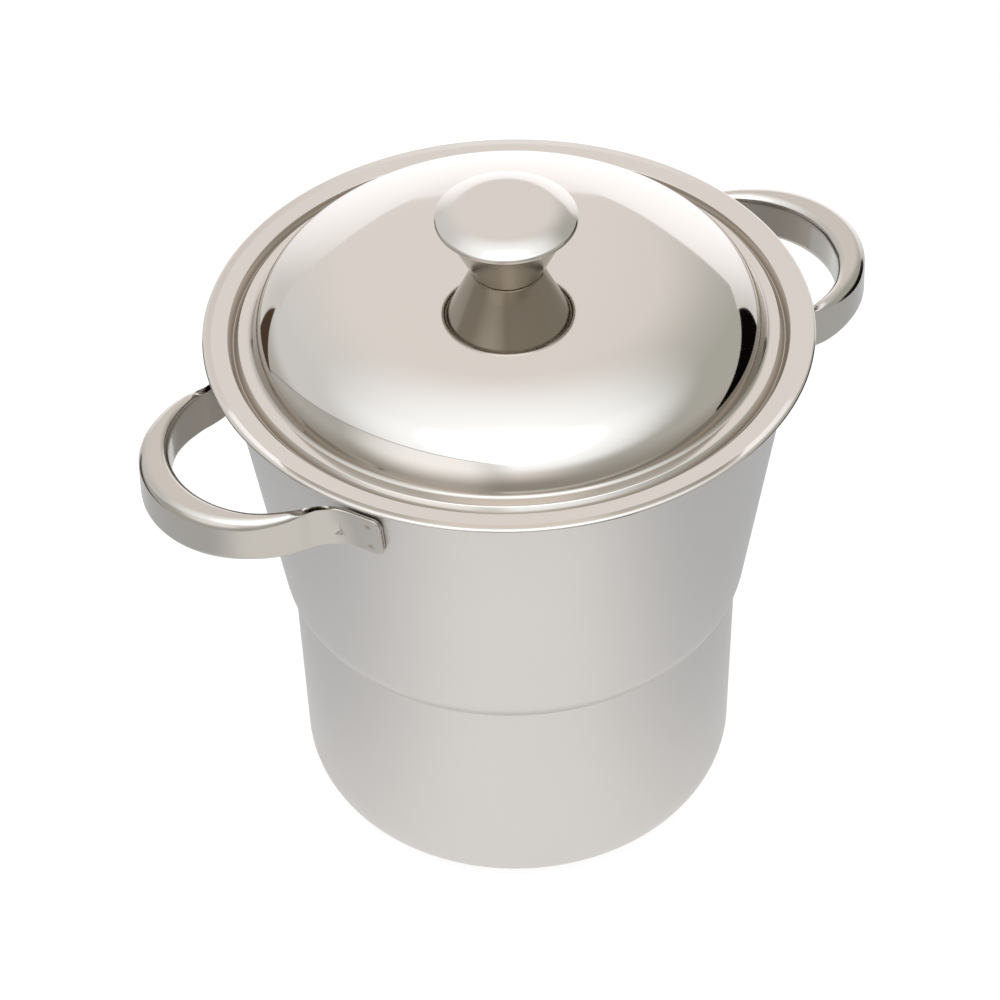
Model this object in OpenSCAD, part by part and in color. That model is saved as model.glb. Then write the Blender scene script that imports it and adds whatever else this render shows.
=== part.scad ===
// Covered ice bucket: a deep-drawn bucket with a shoulder in its wall, a domed lid that
// rests on the out-turned rim, a capped cone for a knob, held by one screw, and two bow handles
// pressed from tube, whose flattened ends are spot-welded to the wall.
// Millimetres. Z is up, the origin is the middle of the base, and the handles lie along X.

/* [Bucket] */
// Thickness of the bucket's sheet
bucket_sheet = 0.8; // [0.6:0.1:1.2]
// Outside radius of the wall where it meets the rim
mouth_r = 93.6; // [90:0.2:98]
// Height of the rim's top face above the table
rim_z = 189.8; // [170:0.2:215]
// Width of the out-turned rim beyond the wall
rim_w = 3.4; // [2.8:0.1:5]
// Radius of the bend under the rim
rim_bend = 1.5; // [1:0.1:2.5]
// Height of the shoulder, where the lower wall begins
shoulder_z = 86.6; // [70:0.2:100]
// Outside radius of the wall just below the shoulder
waist_r = 74.8; // [70:0.2:78]
// How far the shoulder stands out from the lower wall
shoulder_w = 2.7; // [2:0.1:4]
// Height of the sloping part of the shoulder
shoulder_h = 4.6; // [4:0.1:7]
// Radius of the rounding over the shoulder
shoulder_bend = 17; // [8:0.5:20]
// Outside radius at which the lower wall would meet the table
foot_r = 72; // [64:0.2:74]
// Radius of the bend between the wall and the base
foot_bend = 21; // [12:0.5:28]

/* [Lid] */
// Thickness of the lid's sheet
lid_sheet = 0.8; // [0.6:0.1:1.2]
// Gap between the rim's edge and the inside of the lid's lip
lip_gap = 2.2; // [1.5:0.1:4]
// Width of the lid's edge that climbs to the lip
lip_w = 3; // [2.4:0.1:4]
// How far the lid's edge climbs above the flange
lip_rise = 0.7; // [0.3:0.1:1.2]
// Height of the lid's turned-down lip
lip_drop = 1.4; // [1.3:0.1:3]
// Radius of the roll over the lip
lip_bend = 0.9; // [0.8:0.1:1.2]
// Radius of the hollow bend where the lid's edge begins to climb
lip_root_bend = 3; // [1:0.1:5]
// Gap between the locating groove and the inside of the mouth
groove_gap = 1.1; // [0.8:0.1:2.5]
// Width of the locating groove pressed into the lid
groove_w = 3.5; // [3:0.1:5]
// Depth at which the two sides of the locating groove would meet
groove_depth = 1.5; // [1:0.1:1.8]
// Radius of the locating groove's hollow
groove_bend = 1.6; // [1.2:0.1:2]
// Radius of the two edges of the locating groove
groove_edge = 0.8; // [0.6:0.1:1]
// Width of the flat ring between the locating groove and the dome
ring_w = 4.2; // [3:0.1:6]
// Radius of the hollow bend where the dome leaves the ring
dome_root_bend = 1.5; // [1.2:0.1:2.2]
// Slope of the dome's steep side, in degrees
dome_slope = 72; // [64:1:76]
// Length along the slope from the ring to where the steep side would meet the haunch
dome_run = 13; // [12.4:0.1:18]
// Radius of the bend from the steep side into the haunch
dome_knuckle = 21.5; // [16:0.5:22]
// Slope of the dome where that bend passes into the haunch, in degrees
haunch_slope = 26; // [20:1:32]
// Radius of the haunch, the wide bend between the knuckle and the crown
haunch_bend = 64; // [40:1:80]
// Slope of the dome where the haunch passes into the crown, in degrees
crown_slope = 5.6; // [4:0.2:8]
// Radius of the flat seat for the knob
seat_r = 12.5; // [12.2:0.1:18]

/* [Knob] */
// Thickness of the knob's sheet
knob_sheet = 0.8; // [0.6:0.1:1]
// Outside radius of the cone's foot on the lid
knob_foot_r = 11.4; // [9:0.1:12]
// Radius of the bend round the cone's foot
knob_foot_bend = 1.2; // [1:0.1:2]
// Outside radius of the cap
cap_r = 23.2; // [21:0.1:27]
// Height of the cap's edge above the lid
knob_h = 21.7; // [17:0.5:28]
// Height of the cap's turned-down lip
cap_lip = 1.5; // [1.3:0.1:2.4]
// Radius of the roll at the cap's edge
cap_bend = 1.1; // [0.9:0.1:1.4]
// Slope of the cap at its edge, in degrees
cap_slope = 30; // [24:1:34]
// Length of the cap's straight slope from its edge inwards
cap_brim = 2.6; // [2.4:0.1:4]
// Radius of the flat middle of the cap
cap_flat_r = 14; // [8:0.1:16]
// Width of the cone's flange under the cap
cone_flange = 0.3; // [0.3:0.1:1]
// Radius of the bend between the cone and its flange
cone_bend = 0.2; // [0.1:0.05:0.25]

/* [Screw] */
// Diameter of the knob's screw
screw_d = 5; // [4:0.5:6]
// Diameter of the screw's head
screw_head_d = 9.4; // [8:0.2:11]
// Height of the screw's head
screw_head_h = 2.8; // [2:0.1:3.5]
// Radius of the rounding over the screw's head
screw_head_bend = 1.8; // [0.8:0.1:1.8]
// Radius of the small rounding round the bearing face of the screw's head
screw_head_edge = 0.15; // [0.1:0.05:0.2]
// Width of the cross recess in the screw's head
recess_w = 1.2; // [0.8:0.1:1.6]
// Length of the cross recess in the screw's head
recess_l = 5; // [3.5:0.1:6]
// Depth of the cross recess in the screw's head
recess_depth = 1.6; // [0.8:0.1:1.8]
// How far the screw's end stands above the nut
screw_over = 1.2; // [0.5:0.1:3]
// Diameter of the washer under the lid
washer_d = 11; // [10:0.2:14]
// Thickness of the washer
washer_t = 1; // [0.6:0.1:1.6]
// Width of the nut across its flats
nut_w = 8; // [7.6:0.1:10]
// Height of the nut
nut_h = 4; // [2.5:0.1:5]

/* [Handles] */
// Distance from the bucket's axis to the outermost point of a handle
handle_reach = 132; // [126:0.5:145]
// Height of a handle's tube
handle_h = 16.8; // [13:0.1:20]
// Distance from the rim's top face down to the top of a handle
handle_drop = 8.3; // [6:0.1:14]
// Width of the tube at the middle of the grip
grip_w = 10.8; // [8:0.1:14]
// Thickness of the tube's wall
tube_wall = 0.8; // [0.6:0.1:1.2]
// Gap left inside the flattened ends of the tube
tube_slit = 0.3; // [0.2:0.1:0.6]
// Radius of the tube's long edges
tube_edge = 3.2; // [2:0.1:3.8]
// Radius of the bow along the middle of the tube
bow_r = 34.5; // [30:0.5:38]
// Radius of the bend from the bow into each tab
root_r = 18; // [10:0.5:26]
// Length of tube before each tab that is already flat
flat_len = 14; // [8:0.5:20]
// Length of each tab along the wall
tab_len = 9; // [6:0.5:14]
// Radius of the rounded corners at a tab's end
tab_corner = 3; // [1:0.1:4]
// Diameter of a spot weld
weld_d = 3.4; // [2.5:0.1:5]
// Distance between the two spot welds of a tab
weld_pitch = 9.4; // [6:0.1:9.8]

/* [Clearances] */
// Gap between a handle's tab and the wall, filled at the spot welds
weld_gap = 0.3; // [0.2:0.05:0.6]
// Gap between a spot weld and its tab
weld_skin = 0.03; // [0.02:0.01:0.05]
// Gap round the screw in the holes it passes through
screw_gap = 0.25; // [0.15:0.05:0.5]
// Gap round the screw in the nut's thread
thread_gap = 0.05; // [0.03:0.01:0.1]
// Gap in the seam between the cap and the cone
seam_gap = 0.06; // [0.04:0.01:0.2]

/* [Hidden] */
$fn = 128;

// Finish colours
satin_steel = [0.80, 0.79, 0.78];
polished_steel = [0.83, 0.80, 0.76];
plain_steel = [0.62, 0.61, 0.59];

// Largest turn and longest chord of one step along a rounded stretch
step_turn = 9;
step_chord = 6;

// Smallest inside radius of a bend, and largest radius of a rounded edge, as shares of the
// thickness they belong to
bend_share = 0.25;
edge_share = 0.45;

// How far a hole is cut past the faces it goes through
past = 1;

// Plane geometry

function unit(v) = v / norm(v);
function left(v) = [-v[1], v[0]];
function turned(v, a) = [v[0] * cos(a) - v[1] * sin(a), v[0] * sin(a) + v[1] * cos(a)];
function turn_between(u, v) = atan2(u[0] * v[1] - u[1] * v[0], u * v);
function back_to_front(list) = [for (i = [len(list) - 1:-1:0]) list[i]];

// Number of steps for a bend of radius r through angle a
function bend_steps(r, a) =
    max(ceil(abs(a) / step_turn), ceil(abs(a) * PI / 180 * r / step_chord));

// Bend that leaves point p along direction u and turns by angle a, to the left if positive
function bend(p, u, r, a) =
    let (centre = p + sign(a) * r * left(u), n = bend_steps(r, a))
    [for (k = [0:n]) centre + turned(p - centre, a * k / n)];

// Direction of the path's side that ends at corner i, and its turn at corner i
function side(path, i) = unit(path[i] - path[i - 1]);
function turn_at(path, i) = turn_between(side(path, i), side(path, i + 1));

// Path with each inner corner rounded to its radius
function bent(path, radii) = [
    path[0],
    for (i = [1:len(path) - 2])
        let (u = side(path, i), a = turn_at(path, i), r = radii[i - 1])
        each bend(path[i] - u * r * tan(abs(a) / 2), u, r, a),
    path[len(path) - 1]
];

// Path that runs at distance t to the left of another, and the bend radii that go with it
function beside(path, t) = [
    for (i = [0:len(path) - 1])
        let (
            u = side(path, max(i, 1)),
            v = side(path, min(i + 1, len(path) - 1))
        )
        path[i] + t * (left(u) + left(v)) / (1 + u * v)
];
function beside_radii(path, radii, t) = [
    for (i = [1:len(path) - 2])
        max(radii[i - 1] - t * sign(turn_at(path, i)), bend_share * t)
];

// Sheet of thickness t to the left of a bent path, spun about the Z axis
module spun_sheet(path, radii, t) {
    inner = bent(beside(path, t), beside_radii(path, radii, t));
    rotate_extrude()
        polygon(concat(bent(path, radii), back_to_front(inner)));
}

// Bucket

// Outside of the sheet from the middle of the base, up the wall and out along the rim
rim_r = mouth_r + rim_w;
rim_under_z = rim_z - bucket_sheet;
shoulder_top = [waist_r + shoulder_w, shoulder_z + shoulder_h];
bucket_path = [
    [0, 0],
    [foot_r, 0],
    [waist_r, shoulder_z],
    shoulder_top,
    [mouth_r, rim_under_z],
    [rim_r, rim_under_z]
];
shoulder_foot_bend = 2 * bucket_sheet;
bucket_bends = [foot_bend, shoulder_foot_bend, shoulder_bend, rim_bend];

// Outside radius of the upper wall at height z
wall_flare = (mouth_r - shoulder_top[0]) / (rim_under_z - shoulder_top[1]);
function wall_r(z) = shoulder_top[0] + wall_flare * (z - shoulder_top[1]);

module bucket_shell() {
    color(satin_steel)
        spun_sheet(bucket_path, bucket_bends, bucket_sheet);
}

// Lid

// Top of the sheet from the lip's lower edge, across the flange and dome to the screw hole
lid_r = rim_r + lip_gap + lid_sheet;
flange_z = rim_z + lid_sheet;
lip_z = flange_z + lip_rise;
groove_r = mouth_r - bucket_sheet - groove_gap;
dome_r = groove_r - groove_w - ring_w;

// The dome is three bends that follow each other: the knuckle over the steep side, the wider
// haunch, and the crown, whose radius follows from the room left up to the knob's seat
function climb(a) = [-cos(a), sin(a)];
knuckle_tangent = dome_knuckle * tan((dome_slope - haunch_slope) / 2);
haunch_tangent = haunch_bend * tan((haunch_slope - crown_slope) / 2);
knuckle_corner = [dome_r, flange_z] + dome_run * climb(dome_slope);
haunch_corner = knuckle_corner + (knuckle_tangent + haunch_tangent) * climb(haunch_slope);
crown_room = haunch_corner[0] - haunch_tangent * cos(crown_slope) - seat_r;
crown_tangent = crown_room / (1 + cos(crown_slope));
crown_bend = crown_tangent / tan(crown_slope / 2);
crown_corner = haunch_corner + (haunch_tangent + crown_tangent) * climb(crown_slope);
seat_z = crown_corner[1];
screw_hole_r = screw_d / 2 + screw_gap;

lid_path = [
    [lid_r, lip_z - lip_drop],
    [lid_r, lip_z],
    [lid_r - lip_w, flange_z],
    [groove_r, flange_z],
    [groove_r - groove_w / 2, flange_z - groove_depth],
    [groove_r - groove_w, flange_z],
    [dome_r, flange_z],
    knuckle_corner,
    haunch_corner,
    crown_corner,
    [screw_hole_r, seat_z]
];
lid_bends = [
    lip_bend, lip_root_bend, groove_edge, groove_bend, groove_edge,
    dome_root_bend, dome_knuckle, haunch_bend, crown_bend
];

module lid_shell() {
    color(polished_steel)
        spun_sheet(lid_path, lid_bends, lid_sheet);
}

// Knob

cap_edge_z = seat_z + knob_h;

// Slope line of the cap's outside, as its height at radius r
function cap_slope_z(r) = cap_edge_z + (cap_r - r) * tan(cap_slope);

// Outside of the cone from the screw hole in its floor, up the cone and out along its flange,
// which lies against the cap's underside inside the cap's lip
module knob_cone() {
    below_cap = (2 * knob_sheet + seam_gap) / cos(cap_slope);
    flange_r = cap_r - knob_sheet - 2 * seam_gap - knob_sheet * sin(cap_slope);
    flange_root_r = flange_r - cone_flange;
    path = [
        [screw_hole_r, seat_z],
        [knob_foot_r, seat_z],
        [flange_root_r, cap_slope_z(flange_root_r) - below_cap],
        [flange_r, cap_slope_z(flange_r) - below_cap]
    ];
    color(polished_steel)
        spun_sheet(path, [knob_foot_bend, cone_bend], knob_sheet);
}

// Top of the cap from its lip's lower edge up the brim, and over one bend to the flat middle
module knob_cap() {
    cap_room = cap_r - cap_brim * cos(cap_slope) - cap_flat_r;
    cap_tangent = cap_room / (1 + cos(cap_slope));
    path = [
        [cap_r, cap_edge_z - cap_lip],
        [cap_r, cap_edge_z],
        [cap_r, cap_edge_z] + (cap_brim + cap_tangent) * climb(cap_slope),
        [0, cap_edge_z + (cap_brim + cap_tangent) * sin(cap_slope)]
    ];
    color(polished_steel)
        spun_sheet(path, [cap_bend, cap_tangent / tan(cap_slope / 2)], knob_sheet);
}

// Screw

nut_z = seat_z + knob_sheet;
washer_z = seat_z - lid_sheet - washer_t;
screw_head_z = washer_z - screw_head_h;

module knob_nut() {
    sides = 6;
    color(plain_steel)
        translate([0, 0, nut_z])
            difference() {
                cylinder(d = nut_w / cos(180 / sides), h = nut_h, $fn = sides);
                translate([0, 0, -past])
                    cylinder(r = screw_d / 2 + thread_gap, h = nut_h + 2 * past);
            }
}

// The shank starts inside the head, half way through what the recess leaves of it
module knob_screw() {
    head_r = screw_head_d / 2;
    shank_z = (screw_head_z + recess_depth + washer_z) / 2;
    color(plain_steel)
        difference() {
            union() {
                translate([0, 0, shank_z])
                    cylinder(d = screw_d, h = nut_z + nut_h + screw_over - shank_z);
                rotate_extrude()
                    polygon(bent(
                        [[0, screw_head_z], [head_r, screw_head_z], [head_r, washer_z], [0, washer_z]],
                        [screw_head_bend, screw_head_edge]
                    ));
            }
            for (a = [0, 90])
                translate([0, 0, screw_head_z])
                    rotate([0, 0, a])
                        cube([recess_l, recess_w, 2 * recess_depth], center = true);
        }
}

module screw_washer() {
    color(plain_steel)
        translate([0, 0, washer_z])
            difference() {
                cylinder(d = washer_d, h = washer_t);
                translate([0, 0, -past])
                    cylinder(r = screw_hole_r, h = washer_t + 2 * past);
            }
}

// Handles

// A handle's middle line is five tangent arcs in one level plane: a tab along the wall, a root
// bend away from the wall, the bow, and the same again. Its tube is full at the grip and is
// pressed flat towards the tabs, which lean with the wall.
handle_z = rim_z - handle_drop - handle_h / 2;
strap_t = 2 * tube_wall + tube_slit;
tab_r = wall_r(handle_z) + weld_gap + strap_t / 2;
bow_x = handle_reach - grip_w / 2 - bow_r;
root_reach = tab_r + root_r;
root_a = acos((bow_x ^ 2 + root_reach ^ 2 - (bow_r + root_r) ^ 2) / (2 * bow_x * root_reach));
bow_a = atan2(root_reach * sin(root_a), root_reach * cos(root_a) - bow_x);
tab_a = tab_len / tab_r * 180 / PI;

bow_len = bow_r * bow_a * PI / 180;
root_len = root_r * (bow_a - root_a) * PI / 180;
flat_start = bow_len + root_len - flat_len;

// Rings along half the bow, one root bend and one tab, and points round one rounded edge
bow_rings = 13;
root_rings = 6;
tab_rings = 5;
edge_points = 4;

// Shares of a stretch at which its rings lie: evenly, or closer towards its end
function evenly(n) = [for (k = [1:n]) k / n];
function closing(n) = [for (k = [1:n]) 1 - (1 - k / n) ^ 2];

// Stations along an arc, each [point, heading, distance from the middle of the grip]
function stations(p, heading, r, a, shares, from) = [
    for (f = shares)
        let (
            u = [cos(heading), sin(heading)],
            centre = p + sign(a) * r * left(u)
        )
        [
            centre + turned(p - centre, a * f),
            heading + a * f,
            from + r * abs(a) * PI / 180 * f
        ]
];
function last(list) = list[len(list) - 1];
function further(list, r, a, shares) =
    concat(list, stations(last(list)[0], last(list)[1], r, a, shares, last(list)[2]));

grip_middle = [[[bow_x + bow_r, 0], 90, 0]];
half_bow = further(grip_middle, bow_r, bow_a, evenly(bow_rings));
half_bow_and_root = further(half_bow, root_r, root_a - bow_a, evenly(root_rings));
half_handle = further(half_bow_and_root, tab_r, tab_a, closing(tab_rings));
whole_handle = concat(
    [for (i = [len(half_handle) - 1:-1:1])
        let (s = half_handle[i])
        [[s[0][0], -s[0][1]], 180 - s[1], s[2]]],
    half_handle
);

// Width, height and lean of the tube's section at distance s from the middle of the grip
function tube_w(s) = strap_t + (grip_w - strap_t) * cos(90 * min(1, s / flat_start));
function corner_cut(x) =
    let (d = max(0, min(tab_corner, tab_corner - x)))
    tab_corner - sqrt(tab_corner ^ 2 - d ^ 2);
function tube_h(s) = handle_h - 2 * corner_cut(bow_len + root_len + tab_len - s);
function smooth(x) = x * x * (3 - 2 * x);
function tube_lean(s) = wall_flare * smooth(max(0, min(1, (s - bow_len) / root_len)));

// Rounded rectangle of width w, height h and edge radius r, counter-clockwise
function rounded(w, h, r) = [
    for (q = [0:3], k = [0:edge_points - 1])
        let (a = 90 * (q + k / (edge_points - 1)))
        [sign(cos(90 * q + 45)) * (w / 2 - r), sign(sin(90 * q + 45)) * (h / 2 - r)]
            + r * [cos(a), sin(a)]
];

// Ring of the tube at one station, inset by t from its outside
function tube_ring(station, t) =
    let (
        w = tube_w(station[2]) - 2 * t,
        h = tube_h(station[2]) - 2 * t,
        out = [sin(station[1]), -cos(station[1])],
        lean = tube_lean(station[2])
    )
    [
        for (q = rounded(w, h, min(tube_edge - t, edge_share * w)))
            let (p = station[0] + out * (q[0] + lean * q[1]))
            [p[0], p[1], handle_z + q[1]]
    ];

// Faces of the band between two rings of n points that start at i and j
function band(i, j, n) = [
    for (k = [0:n - 1])
        let (m = (k + 1) % n)
        each [[i + k, j + k, j + m], [i + k, j + m, i + m]]
];

module bow_handle() {
    n = 4 * edge_points;
    last_ring = len(whole_handle) - 1;
    rings = [
        for (s = whole_handle) each tube_ring(s, 0),
        for (s = whole_handle) each tube_ring(s, tube_wall)
    ];
    inside = n * len(whole_handle);
    outer_faces = [for (i = [0:last_ring - 1]) each band(i * n, (i + 1) * n, n)];
    inner_faces = [
        for (i = [0:last_ring - 1])
            each band(inside + (i + 1) * n, inside + i * n, n)
    ];
    end_faces = concat(
        band(inside, 0, n),
        band(last_ring * n, inside + last_ring * n, n)
    );
    color(polished_steel)
        polyhedron(rings, concat(outer_faces, inner_faces, end_faces), convexity = 6);
}

module handle_right() {
    bow_handle();
}

module handle_left() {
    rotate([0, 0, 180])
        bow_handle();
}

// Two spot welds behind each of the four tabs, square to the wall in the gap that the tab leaves
module handle_spot_welds() {
    weld_a = root_a + tab_a / 2;
    wall_lean = atan(wall_flare);
    weld_t = weld_gap * cos(wall_lean) - weld_skin;
    color(satin_steel)
        for (a = [-weld_a, weld_a, 180 - weld_a, 180 + weld_a], up = [-0.5, 0.5])
            let (z = handle_z + up * weld_pitch)
                rotate([0, 0, a])
                    translate([wall_r(z), 0, z])
                        rotate([0, 90 + wall_lean, 0])
                            cylinder(d = weld_d, h = weld_t);
}

bucket_shell();
handle_left();
handle_right();
handle_spot_welds();
lid_shell();
knob_cone();
knob_cap();
knob_nut();
knob_screw();
screw_washer();
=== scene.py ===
# %% [markdown]
# # A covered ice bucket in satin and polished steel
# The bucket is a drawn steel cup with a loose lid, a capped cone for a knob and two tube handles.
# Its CAD solids are loaded first as a fixed frame: they give the places, and nothing moves them.
# Every visible sheet is then worked out again as a fine, exactly curved surface, because polished
# steel shows its surroundings, and a mirror shows each flat facet of a coarse mesh.

# %% Load the frame
import math

import bpy
import numpy as np
from mathutils import Matrix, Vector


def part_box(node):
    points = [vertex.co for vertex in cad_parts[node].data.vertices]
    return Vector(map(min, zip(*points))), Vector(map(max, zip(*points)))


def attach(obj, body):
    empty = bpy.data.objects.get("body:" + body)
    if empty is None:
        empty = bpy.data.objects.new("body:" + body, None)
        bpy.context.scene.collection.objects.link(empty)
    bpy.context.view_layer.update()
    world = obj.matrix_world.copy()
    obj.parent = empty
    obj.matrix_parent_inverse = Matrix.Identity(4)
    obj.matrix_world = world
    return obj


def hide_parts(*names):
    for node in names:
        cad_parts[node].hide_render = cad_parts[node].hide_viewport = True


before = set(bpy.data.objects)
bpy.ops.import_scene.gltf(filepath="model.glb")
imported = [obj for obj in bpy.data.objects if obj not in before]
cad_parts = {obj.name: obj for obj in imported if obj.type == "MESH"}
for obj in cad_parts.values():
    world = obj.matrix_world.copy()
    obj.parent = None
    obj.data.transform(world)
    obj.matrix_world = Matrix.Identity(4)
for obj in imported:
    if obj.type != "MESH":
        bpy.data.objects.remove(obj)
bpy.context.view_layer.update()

# %% [markdown]
# ## Sizes
# The sheets repeat the sizes of the solids, apart from the lid's groove, which is deeper here and has
# tighter bends. What a solid's box tells is read from the frame, and the rest is written here in
# millimetres, turned into metres by MM. A sheet part is drawn the way a press-tool maker draws it:
# straight sides, a bend radius at each corner, and a thickness.

# %% Sizes of the bucket and lid
MM = 0.001

rim_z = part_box("bucket_shell")[1].z
rim_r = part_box("bucket_shell")[1].x
lid_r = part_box("lid_shell")[1].x
seat_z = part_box("knob_cone")[0].z

sheet = 0.8 * MM
rim_w = 3.4 * MM
mouth_r = rim_r - rim_w
rim_under_z = rim_z - sheet
waist_r = 74.8 * MM
shoulder_z = 86.6 * MM
shoulder_top = np.array([77.5, 91.2]) * MM
foot_r = 72 * MM
wall_flare = (mouth_r - shoulder_top[0]) / (rim_under_z - shoulder_top[1])

flange_z = rim_z + sheet
lip_w = 3 * MM
lip_rise = 0.7 * MM
lip_z = flange_z + lip_rise
lip_drop = 1.4 * MM
groove_gap = 1.1 * MM
groove_r = mouth_r - sheet - groove_gap
groove_w = 3.5 * MM
groove_depth = 2.6 * MM
ring_w = 4.2 * MM
dome_slope = math.radians(72)
dome_run = 13 * MM
dome_knuckle = 21.5 * MM
haunch_slope = math.radians(26)
haunch_bend = 64 * MM
crown_slope = math.radians(5.6)
seat_r = 12.5 * MM
screw_hole_r = 2.75 * MM
print(f"rim radius {rim_r:.4f} m at height {rim_z:.4f} m, lid radius {lid_r:.4f} m")

# %% [markdown]
# ## Bent sheet
# A bend is an arc that touches both straight sides of a corner. A bevel could round the corners too,
# but on a mirror finish its few facets would show, so the arcs are worked out here. Each point of the
# bent path also keeps the direction in which the path runs there, so that the surface's normals come
# from the drawing itself and not from averaged facets. The second face of a sheet is the same path
# moved to its left by the thickness, with larger or smaller bends.

# %% Helpers for bent sheet
ARC_STEP = math.radians(3)
ARC_CHORD = 2.5 * MM
SHEET_EDGE_SHARE = 0.15
TIGHTEST_BEND_SHARE = 0.25
FEWEST_ARC_STEPS = 3


def directions(corners):
    """Unit direction of each side of a path of corners."""
    sides = np.diff(corners, axis=0)
    return sides / np.linalg.norm(sides, axis=1)[:, None]


def turn_angles(ways):
    """Angle from each direction to the next, positive to the left."""
    before, after = ways[:-1], ways[1:]
    cross = before[:, 0] * after[:, 1] - before[:, 1] * after[:, 0]
    return np.arctan2(cross, (before * after).sum(1))


def bent(corners, radii):
    """Path with each inner corner replaced by an arc that touches both sides: a point on the arc is
    the arc's centre plus its first spoke turned by a share of the corner's angle.
    Returns the points and the unit directions of travel at them."""
    corners = np.asarray(corners, float)
    ways = directions(corners)
    points, travel = [corners[:1]], [ways[:1]]
    for corner, way, angle, radius in zip(corners[1:-1], ways, turn_angles(ways), radii):
        start = corner - way * radius * math.tan(abs(angle) / 2)
        across = np.array([-way[1], way[0]])
        centre = start + math.copysign(radius, angle) * across
        steps_by_angle = math.ceil(abs(angle) / ARC_STEP)
        steps_by_chord = math.ceil(abs(angle) * radius / ARC_CHORD)
        steps = max(FEWEST_ARC_STEPS, steps_by_angle, steps_by_chord)
        turned = np.linspace(0, angle, steps + 1)
        cos, sin = np.cos(turned)[:, None], np.sin(turned)[:, None]
        spoke = start - centre
        points.append(centre + cos * spoke + sin * np.array([-spoke[1], spoke[0]]))
        travel.append(cos * way + sin * across)
    points.append(corners[-1:])
    travel.append(ways[-1:])
    return np.concatenate(points), np.concatenate(travel)


def beside(corners, distance):
    """Corners of the path that runs at a distance to the left of another: each corner moves along
    the mean of the two sides' left directions, far enough to stay at that distance from both."""
    corners = np.asarray(corners, float)
    ways = directions(corners)
    before = np.concatenate([ways[:1], ways])
    after = np.concatenate([ways, ways[-1:]])
    lefts = np.stack([-before[:, 1] - after[:, 1], before[:, 0] + after[:, 0]], 1)
    return corners + distance * lefts / (1 + (before * after).sum(1))[:, None]


def sheet_section(corners, radii, thickness):
    """Closed outline of a bent sheet: one face, the small rounding of its cut edges, and the other
    face back again. A sheet that reaches the axis stays open there.
    Returns points, directions of travel, and whether the outline closes on itself."""
    corners = np.asarray(corners, float)
    turns = turn_angles(directions(corners))
    other = beside(corners, thickness)[::-1]
    tightest = TIGHTEST_BEND_SHARE * thickness
    other_radii = np.maximum(radii - thickness * np.sign(turns), tightest)[::-1]
    edge = [SHEET_EDGE_SHARE * thickness] * 2
    if corners[0, 0] == 0:
        return *bent([*corners, *other], [*radii, *edge, *other_radii]), False
    if corners[-1, 0] == 0:
        return *bent([*other, *corners], [*other_radii, *edge, *radii]), False
    middle = (corners[0] + other[-1]) / 2
    loop = [middle, *corners, *other, middle]
    points, travel = bent(loop, [edge[0], *radii, *edge, *other_radii, edge[0]])
    return points[:-1], travel[:-1], True


# %% [markdown]
# ## Spun surfaces
# A lathe turns a section round the axis, as Blender's Screw modifier does. Here the surface is worked
# out as one array on a grid of section points and angles, which keeps the exact normals: the radius
# times the cosine and sine of the angle, and the height. Where the section touches the axis, one ring
# shrinks to a single point.

# %% Helpers for grids and spinning
def add_piece(name, points, faces, normals=None):
    """New mesh object from arrays, smooth, with its place in its mesh."""
    mesh = bpy.data.meshes.new(name)
    mesh.from_pydata(points, [], faces)
    mesh.shade_smooth()
    if normals is not None:
        mesh.normals_split_custom_set_from_vertices(normals)
    piece = bpy.data.objects.new(name, mesh)
    bpy.context.scene.collection.objects.link(piece)
    print(f"{name}: {len(mesh.vertices)} points, {len(mesh.polygons)} faces")
    return piece


def grid_quads(rows, columns, closed_rows):
    """Corner numbers of the four-sided faces of a grid that closes on itself along its columns, and
    along its rows too where closed_rows says so."""
    number = np.arange(rows * columns).reshape(rows, columns)
    below = number if closed_rows else number[:-1]
    above = np.roll(number, -1, 0) if closed_rows else number[1:]
    corners = [below, np.roll(below, -1, 1), np.roll(above, -1, 1), above]
    return np.stack(corners, -1)


def spin(name, section, segments):
    """Surface of a section turned round Z: point = (r cos a, r sin a, z) for each section point and
    each angle a, with the section's own right-hand normal turned in the same way."""
    outline, travel, closed = section
    angle = np.linspace(0, 2 * math.pi, segments, endpoint=False)
    around = np.stack([np.cos(angle), np.sin(angle)], -1)
    points = np.empty((len(outline), segments, 3))
    points[..., :2] = outline[:, None, :1] * around
    points[..., 2] = outline[:, 1:]
    normals = np.empty_like(points)
    normals[..., :2] = travel[:, None, 1:] * around
    normals[..., 2] = -travel[:, :1]
    quads = grid_quads(len(outline), segments, closed)
    if closed:
        faces = quads.reshape(-1, 4).tolist()
        return add_piece(name, points.reshape(-1, 3), faces, normals.reshape(-1, 3))
    points = np.concatenate([points[0, :1], points[1:-1].reshape(-1, 3), points[-1, :1]])
    first_normal = [[0, 0, normals[0, 0, 2]]]
    last_normal = [[0, 0, normals[-1, 0, 2]]]
    normals = np.concatenate([first_normal, normals[1:-1].reshape(-1, 3), last_normal])
    # The first ring is now one point, so all later numbers move down, and the last ring is one too.
    number = np.maximum(quads - (segments - 1), 0)
    number = np.minimum(number, len(points) - 1)
    first = number[0][:, [0, 2, 3]]
    last = number[-1][:, [0, 1, 2]]
    faces = first.tolist() + number[1:-1].reshape(-1, 4).tolist() + last.tolist()
    return add_piece(name, points, faces, normals)


# %% [markdown]
# ## The bucket
# The cup is drawn from one disc: a flat base, a wide bottom bend, a nearly upright lower wall, a
# soft shoulder, a flaring upper wall and a narrow rim that carries the lid. A cylinder could be scaled
# to this outline, but a bent section also gives the sheet its inside and its true bends.

# %% Make the bucket
bucket_corners = [
    [0, 0],
    [foot_r, 0],
    [waist_r, shoulder_z],
    shoulder_top,
    [mouth_r, rim_under_z],
    [rim_r, rim_under_z],
]
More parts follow.
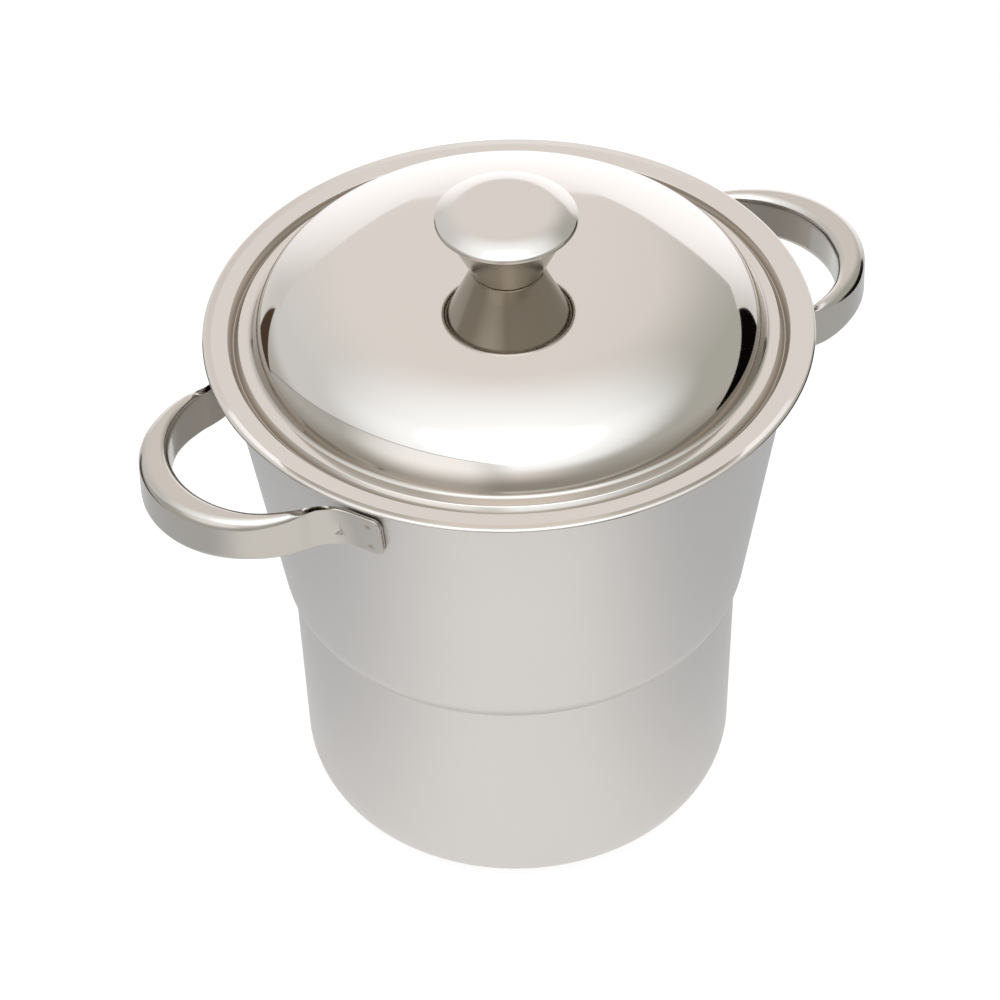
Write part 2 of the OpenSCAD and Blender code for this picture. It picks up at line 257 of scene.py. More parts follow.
# Bend radii at the inner corners, in the same order.
bucket_bends = np.array([21, 1.6, 17, 1.5]) * MM
BUCKET_SEGMENTS = 288
bucket_section = sheet_section(bucket_corners, bucket_bends, sheet)
drawn_bucket = spin("drawn_bucket", bucket_section, BUCKET_SEGMENTS)

# %% [markdown]
# ## The lid
# From its edge inwards the lid has a raised, rolled lip, a flat flange, a groove whose underside finds
# the mouth of the bucket, a flat ring, and a dome. The dome is three bends that follow each other:
# a knuckle over its steep side, a wider haunch, and a crown, whose radius follows from the room left.
# A curve through free points could give a dome too, but bends that touch each other keep the
# reflections running on without a kink.

# %% Make the lid
def climb(slope):
    """Unit direction inwards and up a slope."""
    return np.array([-math.cos(slope), math.sin(slope)])


dome_r = groove_r - groove_w - ring_w
knuckle_tangent = dome_knuckle * math.tan((dome_slope - haunch_slope) / 2)
haunch_tangent = haunch_bend * math.tan((haunch_slope - crown_slope) / 2)
knuckle_corner = np.array([dome_r, flange_z]) + dome_run * climb(dome_slope)
haunch_corner = knuckle_corner + (knuckle_tangent + haunch_tangent) * climb(haunch_slope)
crown_room = haunch_corner[0] - haunch_tangent * math.cos(crown_slope) - seat_r
crown_tangent = crown_room / (1 + math.cos(crown_slope))
crown_bend = crown_tangent / math.tan(crown_slope / 2)
crown_corner = haunch_corner + (haunch_tangent + crown_tangent) * climb(crown_slope)
lid_corners = [
    [lid_r, lip_z - lip_drop],
    [lid_r, lip_z],
    [lid_r - lip_w, flange_z],
    [groove_r, flange_z],
    [groove_r - groove_w / 2, flange_z - groove_depth],
    [groove_r - groove_w, flange_z],
    [dome_r, flange_z],
    knuckle_corner,
    haunch_corner,
    crown_corner,
    [screw_hole_r, crown_corner[1]],
]
# Bend radii at the inner corners, in the same order, from the lip to the dome's foot and then the dome.
edge_bends = np.array([0.9, 3, 0.4, 0.4, 0.4, 1.5]) * MM
lid_bends = np.array([*edge_bends, dome_knuckle, haunch_bend, crown_bend])
LID_SEGMENTS = 320
polished_lid = spin("polished_lid", sheet_section(lid_corners, lid_bends, sheet), LID_SEGMENTS)
print(f"knob seat of the lid at {crown_corner[1]:.5f} m, of the solids at {seat_z:.5f} m")

# %% [markdown]
# ## The knob
# A spun cone stands on the lid with its narrow end down, and a shallow cap closes its wide end. The
# lid is polished, so below the cone its mirror image seems to stand like a second one. Cone and cap
# are separate sheets, and the seam between them shows as a fine dark line, so each is its own piece.

# %% Make the knob
KNOB_SEGMENTS = 224
knob_foot_r = 11.4 * MM
knob_foot_bend = 1.2 * MM
cap_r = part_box("knob_cap")[1].x
cap_edge_rise = 21.7 * MM
cap_edge_z = seat_z + cap_edge_rise
cap_slope = math.radians(30)
cap_brim = 2.6 * MM
cap_flat_r = 14 * MM
cap_bend = 1.1 * MM
cap_lip = 1.5 * MM
seam_gap = 0.06 * MM
cone_flange = 0.3 * MM
cone_bend = 0.2 * MM


def cap_slope_z(radius):
    """Height of the cap's edge line, drawn on inwards at its slope."""
    return cap_edge_z + (cap_r - radius) * math.tan(cap_slope)


below_cap = (2 * sheet + seam_gap) / math.cos(cap_slope)
flange_r = cap_r - sheet - 2 * seam_gap - sheet * math.sin(cap_slope)
flange_root_r = flange_r - cone_flange
cone_corners = [
    [screw_hole_r, seat_z],
    [knob_foot_r, seat_z],
    [flange_root_r, cap_slope_z(flange_root_r) - below_cap],
    [flange_r, cap_slope_z(flange_r) - below_cap],
]
cone_bends = np.array([knob_foot_bend, cone_bend])
spun_cone = spin("spun_cone", sheet_section(cone_corners, cone_bends, sheet), KNOB_SEGMENTS)

cap_room = cap_r - cap_brim * math.cos(cap_slope) - cap_flat_r
cap_tangent = cap_room / (1 + math.cos(cap_slope))
cap_edge = np.array([cap_r, cap_edge_z])
cap_top = cap_edge + (cap_brim + cap_tangent) * climb(cap_slope)
cap_corners = [
    [cap_r, cap_edge_z - cap_lip],
    cap_edge,
    cap_top,
    [0, cap_top[1]],
]
cap_bends = np.array([cap_bend, cap_tangent / math.tan(cap_slope / 2)])
domed_cap = spin("domed_cap", sheet_section(cap_corners, cap_bends, sheet), KNOB_SEGMENTS)

# %% [markdown]
# ## The handles
# A handle is a length of tube, bent to a bow and pressed flat at both ends into tabs that lie along
# the wall. A curve with a bevel could carry one section along the bow, but this section changes all
# the way, so the tube is worked out from its middle line. That line has constant curvature in the
# bow, the opposite one in the root bend and the wall's own along the tab, so its heading is a sum of
# three ramps.

# %% Middle line of a handle
handle_low, handle_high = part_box("handle_right")
handle_z = (handle_low.z + handle_high.z) / 2
handle_h = handle_high.z - handle_low.z
handle_reach = handle_high.x
grip_w = 10.8 * MM
tube_wall = 0.8 * MM
tube_slit = 0.3 * MM
strap_t = 2 * tube_wall + tube_slit
tube_edge = 3.2 * MM
bow_r = 34.5 * MM
root_r = 18 * MM
flat_len = 14 * MM
tab_len = 9 * MM
tab_corner = 3 * MM
weld_gap = 0.3 * MM
weld_pitch = 9.4 * MM

tab_r = shoulder_top[0] + wall_flare * (handle_z - shoulder_top[1]) + weld_gap + strap_t / 2
bow_x = handle_reach - grip_w / 2 - bow_r
root_reach = tab_r + root_r
root_a = math.acos((bow_x**2 + root_reach**2 - (bow_r + root_r) ** 2) / (2 * bow_x * root_reach))
bow_a = math.atan2(root_reach * math.sin(root_a), root_reach * math.cos(root_a) - bow_x)
bow_len = bow_r * bow_a
root_len = root_r * (bow_a - root_a)
half_len = bow_len + root_len + tab_len
flat_start = bow_len + root_len - flat_len

STATIONS = 161
station = half_len * np.linspace(0, 1, STATIONS)
heading = (
    math.pi / 2
    + np.minimum(station, bow_len) / bow_r
    - np.clip(station - bow_len, 0, root_len) / root_r
    + np.maximum(station - bow_len - root_len, 0) / tab_r
)
middle_heading = (heading[:-1] + heading[1:]) / 2
strides = np.diff(station)[:, None] * np.stack([np.cos(middle_heading), np.sin(middle_heading)], 1)
line = np.concatenate([[[0, 0]], np.cumsum(strides, 0)]) + [bow_x + bow_r, 0]
mirror = np.array([1, -1])
line = np.concatenate([line[:0:-1] * mirror, line])
heading = np.concatenate([math.pi - heading[:0:-1], heading])
station = np.concatenate([station[:0:-1], station])
print(f"handle: {2 * half_len:.4f} m of tube, tabs end {line[-1]} m")

# %% [markdown]
# The tube's section is a rounded rectangle that narrows along the line. Where the press closes the
# tube, its top and bottom fold in and leave a small three-cornered dent, and each tab carries the
# marks of two spot welds. These are true dents in the surface, because a bump in the finish alone
# would not bend its outline.

# %% Section of a handle
FACE_POINTS = 30
TOP_POINTS = 14
CORNER_POINTS = 8
THIN_EDGE_SHARE = 0.9
OUTER_FACE_START = 0.5
fold_depth = 3.2 * MM
fold_start = flat_start - 9 * MM
fold_end = flat_start + 7 * MM
dent_depth = 0.9 * MM
dent_place = flat_start + 7.5 * MM
dent_size = 3 * MM
dent_drop = 0.3 * dent_size
DENT_TAPER = 0.45
weld_mark_r = 0.9 * MM
weld_mark_depth = 0.12 * MM
WELD_MARK_END = 1.5
tab_middle = half_len - tab_len / 2


def smooth(share):
    """Smooth step from 0 to 1 as share goes from 0 to 1."""
    share = np.clip(share, 0, 1)
    return share * share * (3 - 2 * share)


def corner_of(quarter, angle, half_w, half_h, radius):
    """Point on one rounded corner: the corner's centre plus a spoke of its radius at an angle."""
    sign_x = np.sign(np.cos(quarter * math.pi / 2 + math.pi / 4))
    sign_y = np.sign(np.sin(quarter * math.pi / 2 + math.pi / 4))
    x = sign_x * (half_w - radius) + radius * np.cos(angle)
    y = sign_y * (half_h - radius) + radius * np.sin(angle)
    return np.stack([x, y], -1)


def section_points(half_w, half_h, radius):
    """Rounded rectangles, one per station: four corner arcs with straight runs between them. The
    quarter turn after each corner is reached by a share of the way to the next corner's arc."""
    runs = []
    for quarter, count in enumerate([TOP_POINTS, FACE_POINTS, TOP_POINTS, FACE_POINTS]):
        start = quarter * math.pi / 2
        arc = start + np.linspace(0, math.pi / 2, CORNER_POINTS)
        runs.append(corner_of(quarter, arc, half_w, half_h, radius))
        share = np.linspace(0, 1, count + 2)[1:-1, None]
        end = start + math.pi / 2
        here = corner_of(quarter, np.array([end]), half_w, half_h, radius)
        there = corner_of((quarter + 1) % 4, np.array([end]), half_w, half_h, radius)
        runs.append(here * (1 - share) + there * share)
    return np.concatenate(runs, 1)


def tube_surface(inset):
    """Points of the tube's wall at an inset from its outside: the middle line, plus the section's
    width along the outward direction and its height along Z, leaning with the wall near the tabs.
    Also returns the heat of the weld marks, which falls off like a bell from 1 at their middles."""
    s = station[:, None]
    width = strap_t + (grip_w - strap_t) * np.cos(math.pi / 2 * np.minimum(1, s / flat_start))
    near_end = np.clip(tab_corner - (half_len - s), 0, tab_corner)
    height = handle_h - 2 * (tab_corner - np.sqrt(np.maximum(tab_corner**2 - near_end**2, 0)))
    half_w, half_h = width / 2 - inset, height / 2 - inset
    radius = np.minimum(tube_edge - inset, THIN_EDGE_SHARE * half_w)
    section = section_points(half_w, half_h, radius)
    x, y = section[..., 0], section[..., 1]

    fold_in = smooth((s - fold_start) / (flat_start - fold_start))
    fold_out = smooth((fold_end - s) / (fold_end - flat_start))
    fold_share = fold_in * fold_out
    level = smooth((np.abs(y) - half_h + 2 * radius) / radius)
    y = y - np.sign(y) * fold_depth * fold_share * level * (1 - (x / half_w) ** 2)

    on_face = smooth((x / half_w - OUTER_FACE_START) / (1 - OUTER_FACE_START))
    dent_y = y + dent_drop
    beside_dent = np.abs(s - dent_place) + DENT_TAPER * (dent_y + dent_size)
    dent = np.clip(1 - np.maximum(beside_dent, -dent_y) / dent_size, 0, 1)
    weld_off = np.hypot(s - tab_middle, np.abs(y) - weld_pitch / 2)
    mark = smooth(WELD_MARK_END - weld_off / weld_mark_r)
    x = x - on_face * (dent_depth * smooth(dent) + weld_mark_depth * mark)

    lean = wall_flare * smooth((s - bow_len) / root_len)
    outward = np.stack([np.sin(heading), -np.cos(heading)], 1)[:, None]
    points = np.empty((*x.shape, 3))
    points[..., :2] = line[:, None] + outward * (x + lean * y)[..., None]
    points[..., 2] = handle_z + y
    return points, on_face * np.exp(-((weld_off / weld_mark_r) ** 2))


# %% [markdown]
# Both handles are the same tube, and one is turned half round the bucket. A Solidify modifier could
# give the tube its wall, but in the closed tab its inside would cross itself, so the inside is the
# same surface worked out again at the wall's thickness. The mesh also keeps two things for its finish:
# a UV map that runs along the tube, and how much heat each point got from the welds.

# %% Make the handles
SHARP_ANGLE = math.radians(50)


def make_handle(name, turn):
    """Hollow tube as one closed grid: the outside from end to end and the inside back again. turn is
    1 for the handle on +X, and -1 turns it half round the axis."""
    outside, heat = tube_surface(0)
    inside, _ = tube_surface(tube_wall)
    grid = np.concatenate([outside, inside[::-1]])
    rows, columns = grid.shape[:2]
    points = grid.reshape(-1, 3) * [turn, turn, 1]
    quads = grid_quads(rows, columns, True)[..., ::-1].reshape(-1, 4)
    piece = add_piece(name, points, quads.tolist())
    piece.data.set_sharp_from_angle(angle=SHARP_ANGLE)
    heat_layer = piece.data.attributes.new("weld_heat", "FLOAT", "POINT")
    heat_layer.data.foreach_set("value", np.concatenate([heat, 0 * heat]).ravel())
    along = np.concatenate([np.linspace(-half_len, half_len, len(station))] * 2)
    around = np.linspace(0, 1, columns) * 2 * (grip_w + handle_h)
    place = np.stack(np.broadcast_arrays(along[:, None], around), -1).reshape(-1, 2)
    uv = piece.data.uv_layers.new(name="along_tube")
    uv.data.foreach_set("uv", place[quads.ravel()].ravel())
    return piece


bow_handle_right = make_handle("bow_handle_right", 1)
bow_handle_left = make_handle("bow_handle_left", -1)

# %% [markdown]
# ## Shader values as Python expressions
# A finish is a small network of nodes. Wired one by one they would hide the formula, so one class
# wraps a node's output and lets it be written as plain arithmetic: adding or multiplying two of them
# adds a Math node, and any other node comes from one method that takes its type, its settings and
# what goes into its sockets.

# %% Class for shader values
class Value:
    """Output socket of a node, with arithmetic that builds Math nodes."""

    def __init__(self, tree, socket=None):
        self.tree = tree
        self.socket = socket

    def node(self, kind, settings, inputs, output=0):
        """New node of a kind, with its settings set first and then its inputs set or linked."""
        made = self.tree.nodes.new(kind)
        for name, value in settings.items():
            setattr(made, name, value)
        for name, value in inputs.items():
            if isinstance(value, Value):
                self.tree.links.new(value.socket, made.inputs[name])
            else:
                made.inputs[name].default_value = value
        return Value(self.tree, made.outputs[output])

    def math(self, operation, *values):
        """Result of a Math node."""
        return self.node("ShaderNodeMath", {"operation": operation}, dict(enumerate(values)))

    def vector(self, operation, *values, output=0):
        """Result of a Vector Math node."""
        settings = {"operation": operation}
        return self.node("ShaderNodeVectorMath", settings, dict(enumerate(values)), output)

    def dot(self, direction):
        """How far this vector goes along a direction."""
        return self.vector("DOT_PRODUCT", self, tuple(direction), output="Value")

    def ramp(self, low, high):
        """0 below low, 1 above high, and a smooth step between."""
        span = {"Value": self, "From Min": low, "From Max": high}
        return self.node("ShaderNodeMapRange", {"interpolation_type": "SMOOTHSTEP"}, span)

    def mix(self, first, second):
        """Colour that goes from the first to the second as this value goes from 0 to 1."""
        inputs = {0: self, 6: first, 7: second}
        return self.node("ShaderNodeMix", {"data_type": "RGBA"}, inputs, 2)

    def __add__(self, other):
        return self.math("ADD", self, other)

    def __sub__(self, other):
        return self.math("SUBTRACT", self, other)

    def __rsub__(self, other):
        return self.math("SUBTRACT", other, self)

    def __mul__(self, other):
        return self.math("MULTIPLY", self, other)

    __radd__ = __add__
    __rmul__ = __mul__


# %% [markdown]
# ## Steel finishes
# All the sheets are the same stainless steel, and they differ in how they were finished. A finish is
# the colour of steel, a roughness that drifts a little where it was handled, and a grain of very
# shallow bumps. An image could hold the grain, but noise that is stretched one way needs no file and
# has no seams. What changes from finish to finish is the place at which that noise is read.

# %% Helpers for finishes
GRAIN_FINE = 2600.0
GRAIN_LONG = 16.0
CONE_STREAKS = 20.0
SMUDGE_SCALE = 22.0
CLOUD_SCALE = 7.0
NOISE_DETAIL = 3.0
NOISE_ROUGHNESS = 0.55
LINE_SHARE = 0.5
HEAT_SHARE = 0.8
# How strongly the brown painted shade darkens the lid's hollows, and its colour.
HOLLOW_SHADE_SHARE = 0.6
HOLLOW_SHADE_BROWN = (0.26, 0.21, 0.16)


def noise(value, place, scale):
    """Fractal noise from 0 to 1 at a place."""
    inputs = {"Vector": place, "Scale": scale, "Detail": NOISE_DETAIL, "Roughness": NOISE_ROUGHNESS}
    return value.node("ShaderNodeTexNoise", {}, inputs)


def upright_grain(value, place):
    """Place stretched along Z, so that the pattern on it runs up the wall."""
    return value.vector("MULTIPLY", place, (GRAIN_FINE, GRAIN_FINE, GRAIN_LONG))


def axis_distance(value, place):
    """Distance from the bucket's axis."""
    return value.vector("LENGTH", value.vector("MULTIPLY", place, (1, 1, 0)), output="Value")


def turned_grain(value, place):
    """Place given by distance from the axis and height, so that the pattern runs in circles."""
    height = place.dot((0, 0, 1))
    side = place.dot((1, 0, 0))
    parts = {
        "X": axis_distance(value, place) * GRAIN_FINE,
        "Y": height * GRAIN_FINE,
        "Z": side * GRAIN_LONG,
    }
    return value.node("ShaderNodeCombineXYZ", {}, parts)


def slope_grain(value, place):
    """Direction round the axis alone, so that the pattern runs straight up a cone."""
    flat = value.vector("NORMALIZE", value.vector("MULTIPLY", place, (1, 1, 0)))
    return value.vector("MULTIPLY", flat, (CONE_STREAKS, CONE_STREAKS, 0))


def tube_grain(value, place):
    """Place along and round the tube from its own UV map, so that the pattern follows the bow."""
    along = value.node("ShaderNodeUVMap", {"uv_map": "along_tube"}, {})
    return value.vector("MULTIPLY", along, (GRAIN_LONG, GRAIN_FINE, 0))


def steel(name, tint, roughness, drift, grain, grain_depth, shade=0.04, heat=None, shaded_hollows=()):
    """Steel of one finish: drift is how far its roughness wanders, grain gives the place at which
    the fine lines are read, and shade is how far its colour darkens between them. heat is the colour
    that welding leaves. Each shaded hollow is the radius and half width of a round groove that a band
    of painted brown shade darkens."""
    material = bpy.data.materials.new(name)
    material.use_nodes = True
    tree = material.node_tree
    shader = tree.nodes["Principled BSDF"]
    shader.inputs["Metallic"].default_value = 1.0
    value = Value(tree)
    place = value.node("ShaderNodeTexCoord", {}, {}, "Object")
    lines = noise(value, grain(value, place), 1.0)
    smudge = noise(value, place, SMUDGE_SCALE)
    cloud = noise(value, place, CLOUD_SCALE)
    dull = tuple(channel * (1 - 2 * shade) for channel in tint)
    colour = ((lines + cloud) * 0.5).mix((*dull, 1), (*tint, 1))
    if heat is not None:
        burnt = value.node("ShaderNodeAttribute", {"attribute_name": "weld_heat"}, {}, "Fac")
        colour = (burnt * HEAT_SHARE).mix(colour, (*heat, 1))
    # Painted shade: a brown band darkens the colour along each of these round hollows.
    for radius, half_width in shaded_hollows:
        off = value.math("ABSOLUTE", axis_distance(value, place) - radius)
        hollow_shade = HOLLOW_SHADE_SHARE * (1 - off.ramp(0, half_width))
        colour = hollow_shade.mix(colour, (*HOLLOW_SHADE_BROWN, 1))
    wander = smudge + lines * LINE_SHARE - (1 + LINE_SHARE) / 2
    rough = roughness + drift * wander
    height = {"Height": lines, "Strength": 1.0, "Distance": grain_depth}
    bump = value.node("ShaderNodeBump", {}, height)
    for socket, source in {"Base Color": colour, "Roughness": rough, "Normal": bump}.items():
        tree.links.new(source.socket, shader.inputs[socket])
    print(f"finish {name}: {len(tree.nodes)} nodes")
    return material


# %% [markdown]
# The wall has fine upright satin lines. The lid and the cap were buffed while they turned, so what is
# left of the buffing runs round the axis, and a brown band of painted shade darkens the lid's hollows
# at the dome's foot and in the groove. The cone was brushed up its slope, and the tube was polished
# along its length, with a brown heat mark round each weld.

# %% Make the finishes
STEEL = (0.60, 0.56, 0.51)
SATIN = (0.635, 0.60, 0.565)
PLAIN = (0.42, 0.41, 0.395)
TUBE = (0.55, 0.51, 0.455)
CONE = (0.52, 0.465, 0.395)
WELD_BROWN = (0.30, 0.20, 0.11)

# Radii and half widths of the brown bands of painted shade on the lid.
foot_hollow_r = dome_r - 0.8 * MM
foot_hollow_half_w = 2.6 * MM
groove_hollow_r = groove_r - groove_w / 2
groove_hollow_half_w = 1.9 * MM
shaded_hollows = [(foot_hollow_r, foot_hollow_half_w), (groove_hollow_r, groove_hollow_half_w)]

satin_wall = steel(
    "satin_wall", SATIN, roughness=0.38, drift=0.10, grain=upright_grain, grain_depth=0.004 * MM
)
buffed_lid = steel(
    "buffed_lid", STEEL, roughness=0.05, drift=0.03, grain=turned_grain, grain_depth=0.0001 * MM,
    shade=0.02, shaded_hollows=shaded_hollows,
)
buffed_knob = steel(
    "buffed_knob", STEEL, roughness=0.13, drift=0.05, grain=turned_grain, grain_depth=0.0002 * MM
)
brushed_cone = steel(
    "brushed_cone", CONE, roughness=0.16, drift=0.08, grain=slope_grain, grain_depth=0.02 * MM,
    shade=0.14,
)
polished_tube = steel(
    "polished_tube", TUBE, roughness=0.14, drift=0.10, grain=tube_grain, grain_depth=0.0008 * MM,
    shade=0.1, heat=WELD_BROWN,
)
plain_steel = steel(
    "plain_steel", PLAIN, roughness=0.35, drift=0.12, grain=turned_grain, grain_depth=0.002 * MM
)
weld_steel = steel(
    "weld_steel", WELD_BROWN, roughness=0.45, drift=0.15, grain=turned_grain, grain_depth=0.004 * MM
)

# %% [markdown]
# ## Put the pieces on their bodies
# Each piece rides on the body of the solids that it stands for, takes its finish, and hides the
# solids that it replaces. The screw, its washer, the nut and the spot welds are right as they are,
# so those solids stay and only get a finish.

# %% Ride, replace and finish
dressing = [
    (drawn_bucket, "bucket", "bucket_shell", "satin_steel", satin_wall),
    (bow_handle_left, "bucket", "handle_left", "polished_steel", polished_tube),
    (bow_handle_right, "bucket", "handle_right", "polished_steel", polished_tube),
    (polished_lid, "lid", "lid_shell", "polished_steel", buffed_lid),
    (spun_cone, "lid", "knob_cone", "polished_steel", brushed_cone),
    (domed_cap, "lid", "knob_cap", "polished_steel", buffed_knob),
]
for piece, body, node, slot, finish in dressing:
    piece.data.materials.append(finish)
    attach(piece, body)
    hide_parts(node)

kept = {
    "knob_nut": plain_steel,
    "knob_screw": plain_steel,
    "screw_washer": plain_steel,
    "handle_spot_welds": weld_steel,
}
for node, finish in kept.items():
    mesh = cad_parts[node].data
    mesh.materials.clear()
    mesh.materials.append(finish)
print(f"{len(dressing)} new pieces, {len(kept)} solids kept")

# %% [markdown]
# ## Camera
# The camera looks down on the bucket from its front left with a long lens. It could be moved by hand
# until the picture fits, but the ellipses of the lid and base tell its place and tilt. It is written
# for a bucket seen straight on, and then turned about the bucket's axis so that the handles point as
# they do in the photograph.

# %% Make the camera
LENS = 180.0
SENSOR = 36.0
camera_back = 1.255
camera_height = 1.2309
pitch = math.radians(41.64)
yaw = math.radians(-0.20)
roll = math.radians(-1.54)
view_turn = math.radians(-29.4)

turn = np.array(Matrix.Rotation(view_turn, 3, "Z"))
right_of_view, back_of_view, up = turn[:, 0], turn[:, 1], turn[:, 2]

level_right = np.array([math.cos(yaw), -math.sin(yaw), 0])
level_ahead = np.array([math.sin(yaw), math.cos(yaw), 0])
forward = math.cos(pitch) * level_ahead - np.array([0, 0, math.sin(pitch)])
level_up = np.cross(level_right, forward)
tilted_right = math.cos(roll) * level_right + math.sin(roll) * level_up
tilted_up = math.cos(roll) * level_up - math.sin(roll) * level_right
stand = np.array([0, -camera_back, camera_height])
camera_place = np.eye(4)
camera_place[:3] = turn @ np.stack([tilted_right, tilted_up, -forward, stand], 1)

camera = bpy.data.objects.new("camera", bpy.data.cameras.new("camera"))
camera.data.lens = LENS
camera.data.sensor_width = SENSOR
camera.matrix_world = Matrix(camera_place)
bpy.context.scene.collection.objects.link(camera)
bpy.context.scene.camera = camera
print(f"camera at {tuple(round(x, 3) for x in camera.location)} m, {LENS:.0f} mm lens")

# %% [markdown]
# ## Studio
# Polished steel has hardly a look of its own: it shows the studio. Lamps and boards could be set up as
# objects, but the steel only tells in which direction it sees them, so the whole studio is a colour
# for each direction of the world. A flat panel in it is cut out by straight edges, each of which is
# a plane through the bucket. The camera itself sees plain white.

# %% Helpers for the surroundings
PANEL_EDGE_BLUR = 0.006

world = bpy.data.worlds.new("studio")
bpy.context.scene.world = world
world.use_nodes = True
tree = world.node_tree
studio = Value(tree)
way = studio.node("ShaderNodeTexCoord", {}, {}, "Generated")
side = way.dot(right_of_view)
high = way.dot(up)


def direction(azimuth, elevation):
    """Unit direction at degrees to the right of straight back and above the horizon."""
    a, e = math.radians(azimuth), math.radians(elevation)
    level = math.sin(a) * right_of_view + math.cos(a) * back_of_view
    return math.cos(e) * level + math.sin(e) * up


def panel(*corners):
    """1 inside the straight edges from corner to corner, which run clockwise as seen from the
    bucket, and 0 outside. A corner is an azimuth and an elevation."""
    inside = 1
    for first, second in zip(corners[:-1], corners[1:]):
        across = np.cross(direction(*first), direction(*second))
        off_edge = way.dot(across / np.linalg.norm(across))
        inside = off_edge.ramp(-PANEL_EDGE_BLUR, PANEL_EDGE_BLUR) * inside
    return inside


# %% [markdown]
# First come the lamp and the walls. The lamp is big and soft, above and behind the camera, with a
# brighter middle. The walls are pale and darken to the right, and below the table the room is grey.
# Each pair of numbers is where one tone starts to give way to the next and where it has done so, as
# the cosine of the angle from a direction.

# %% Make the lamp and the walls
LAMP = (1.69, 1.80, 1.94, 1)
LAMP_CORE = (2.5, 2.6, 2.8, 1)
LEFT_WALL = (0.98, 1.01, 1.05, 1)
BACK_WALL = (1.17, 1.14, 1.15, 1)
RIGHT_WALL = (0.64, 0.66, 0.63, 1)
LOW_ROOM = (0.66, 0.66, 0.64, 1)

back_to_right = (0, 0.7)
left_to_back = (-0.7, -0.1)
low_to_high = (-0.1, 0.25)
lamp_reach = (0.36, 0.96)
lamp_underside = (0.2, 0.46)
lamp_core_reach = (0.84, 0.96)
lamp_middle = direction(180, 60)

walls = side.ramp(*back_to_right).mix(BACK_WALL, RIGHT_WALL)
walls = side.ramp(*left_to_back).mix(LEFT_WALL, walls)
toward_lamp = way.dot(lamp_middle)
lamp = toward_lamp.ramp(*lamp_reach) * high.ramp(*lamp_underside)
light = high.ramp(*low_to_high).mix(LOW_ROOM, lamp.mix(walls, LAMP))
light = toward_lamp.ramp(*lamp_core_reach).mix(light, LAMP_CORE)
print(f"lamp and walls: {len(tree.nodes)} nodes")

# %% [markdown]
# Then come the panels. A screen stands at the left, brighter on the camera's side, and its edge shows
# on the dome as one thin line. Behind the bucket is a white board with a dark gap on either side of
# it, which gives the dome and the knob their dark ends. A corner of a panel is given by its azimuth
# and elevation in degrees.

# %% Make the screen and the board
SCREEN_FAR = (0.66, 0.67, 0.65, 1)
SCREEN_NEAR = (1.55, 1.57, 1.62, 1)
SCREEN_EDGE = (0.48, 0.47, 0.47, 1)
BOARD = (1.66, 1.67, 1.77, 1)
BOARD_SIDE = (0.96, 0.96, 0.97, 1)
LEFT_GAP = (0.10, 0.065, 0.045, 1)
RIGHT_GAP = (0.004, 0.003, 0.003, 1)
WHITE = (1, 1, 1, 1)

screen_far_to_near = (0.68, 1.04)
screen_edge_start = (0.185, 0.195)
screen_start = (0.20, 0.21)
screen_right_end = (-0.3, 0.05)
screen_bright_spot = direction(-150, 28)
screen_tilt = direction(-146, -42)

screen = way.dot(screen_bright_spot).ramp(*screen_far_to_near).mix(SCREEN_FAR, SCREEN_NEAR)
screen_place = way.dot(screen_tilt)
screen_end = 1 - side.ramp(*screen_right_end)
light = (screen_place.ramp(*screen_edge_start) * screen_end).mix(light, SCREEN_EDGE)
light = (screen_place.ramp(*screen_start) * screen_end).mix(light, screen)

board_side_to_middle = (0.74, 1)
board_bright_spot = direction(6, 6)
left_foot, right_foot = (-41, -40), (46, -40)
left_shoulder, right_shoulder = (-41, 18), (46, 17)
left_top, right_top = (-6, 29), (6, 29)
left_gap_far, left_gap_top = (-62, -14), (-42, 10)
right_gap_top, right_gap_far, right_gap_foot = (46, 15), (88, -9), (92, -40)

board = way.dot(board_bright_spot).ramp(*board_side_to_middle).mix(BOARD_SIDE, BOARD)
outline = panel(left_foot, left_shoulder, left_top, right_top, right_shoulder, right_foot)
light = outline.mix(light, board)
light = panel(left_gap_far, left_gap_top, left_foot).mix(light, LEFT_GAP)
light = panel(right_foot, right_gap_top, right_gap_far, right_gap_foot).mix(light, RIGHT_GAP)

seen = studio.node("ShaderNodeLightPath", {}, {}, "Is Camera Ray")
background = tree.nodes["Background"]
tree.links.new(seen.mix(light, WHITE).socket, background.inputs["Color"])
print(f"studio: {len(tree.nodes)} nodes")
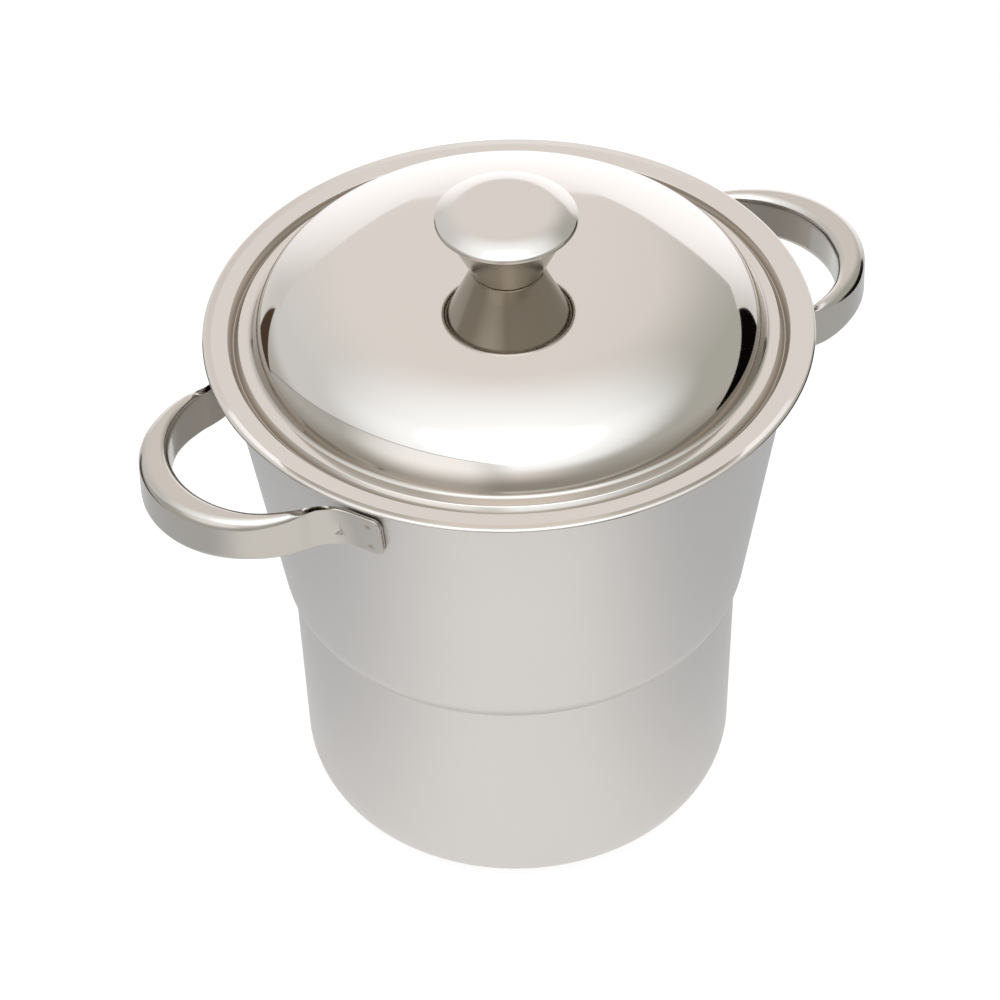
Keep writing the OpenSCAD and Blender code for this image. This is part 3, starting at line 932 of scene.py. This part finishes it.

# %% [markdown]
# The floor is a pale sheet. A plain white one would turn grey in the render, so it is mostly its own
# white to the camera, and partly a matt surface under the studio light, which keeps the soft shadow.
# The steel sees on it a bright strip of painted light that runs from the board to the camera, grows
# wider on the way and falls off at its sides.

# %% Make the floor
FLOOR_R = 0.36
FLOOR_Z = -0.0002
FLOOR_SEGMENTS = 96
PAPER = (0.95, 0.95, 0.95, 1)
DARK_FLOOR = (0.42, 0.44, 0.46, 1)
MATT_PAPER = (0.9, 0.9, 0.9, 1)
PAPER_FADE_W = 0.18
PAPER_SPREAD = 0.3
PAPER_GLOW = 1.12
GLOW_SHARE = 0.72

floor_angle = np.linspace(0, 2 * math.pi, FLOOR_SEGMENTS, endpoint=False)
floor_points = np.full((FLOOR_SEGMENTS, 3), FLOOR_Z)
floor_points[:, 0] = FLOOR_R * np.cos(floor_angle)
floor_points[:, 1] = FLOOR_R * np.sin(floor_angle)
floor = add_piece("floor", floor_points, [list(range(FLOOR_SEGMENTS))])

paper = bpy.data.materials.new("paper")
paper.use_nodes = True
tree = paper.node_tree
tree.nodes.clear()
value = Value(tree)
matt = value.node("ShaderNodeBsdfDiffuse", {}, {"Color": MATT_PAPER})
spot = value.node("ShaderNodeTexCoord", {}, {}, "Object")
# Painted light: to the steel the paper glows as a bright strip that fades to dark grey at its sides.
across = value.math("ABSOLUTE", spot.dot(right_of_view))
far = (across + PAPER_SPREAD * spot.dot(back_of_view)).ramp(0, PAPER_FADE_W)
seen = value.node("ShaderNodeLightPath", {}, {}, "Is Camera Ray")
colour = seen.mix(far.mix(PAPER, DARK_FLOOR), WHITE)
glow = value.node("ShaderNodeEmission", {}, {"Color": colour, "Strength": PAPER_GLOW})
sheet_of_paper = value.node("ShaderNodeMixShader", {}, {0: GLOW_SHARE, 1: matt, 2: glow})
output = tree.nodes.new("ShaderNodeOutputMaterial")
tree.links.new(sheet_of_paper.socket, output.inputs["Surface"])
floor.data.materials.append(paper)

# %% [markdown]
# ## Finish
# The view transform stays plain.

# %% Plain view transform
bpy.context.scene.view_settings.view_transform = "Standard"
